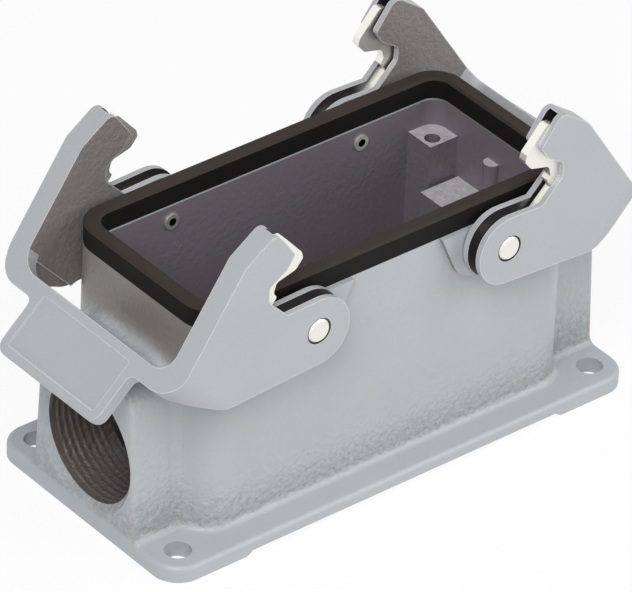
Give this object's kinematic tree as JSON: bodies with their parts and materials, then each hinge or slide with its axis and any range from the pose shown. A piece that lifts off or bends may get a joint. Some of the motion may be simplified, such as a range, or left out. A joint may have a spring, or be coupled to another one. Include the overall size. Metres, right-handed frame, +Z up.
{
  "type": "surface mounting connector housing",
  "caption": "Surface mounting housing for a heavy duty rectangular connector, with a side cable entry, a rim gasket and a locking lever at each end.",
  "frame": {"origin": "centre of the flange's underside, the plane that rests on the panel", "axes": "+X along the housing away from the cable entry, +Y across it, +Z up out of the rim"},
  "size_m": [0.1368, 0.057, 0.073],
  "materials": {
    "housing_coat": "textured powder coat on die cast aluminium",
    "lever_coat": "fine powder coat",
    "gasket_rubber": "matt moulded rubber",
    "pin_steel": "bright turned stainless steel",
    "hook_steel": "bright stamped stainless steel"
  },
  "bodies": {
    "housing": {"housing_casting": "housing_coat", "rim_gasket": "gasket_rubber", "pivot_pin_left_front": "pin_steel", "pivot_pin_left_back": "pin_steel", "pivot_pin_right_front": "pin_steel", "pivot_pin_right_back": "pin_steel"},
    "left_lever": {"locking_lever_left": "lever_coat", "latch_hook_left_front": "hook_steel", "latch_hook_left_back": "hook_steel"},
    "right_lever": {"locking_lever_right": "lever_coat", "latch_hook_right_front": "hook_steel", "latch_hook_right_back": "hook_steel"}
  },
  "joints": [
    {"name": "left_lever_hinge", "type": "hinge", "parent": "housing", "child": "left_lever", "pos_m": [-0.02388, 0, 0.04655], "axis": [0, 1, 0], "range_deg": [0, 40]},
    {"name": "right_lever_hinge", "type": "hinge", "parent": "housing", "child": "right_lever", "pos_m": [0.02388, 0, 0.04655], "axis": [0, -1, 0], "range_deg": [0, 40]}
  ]
}
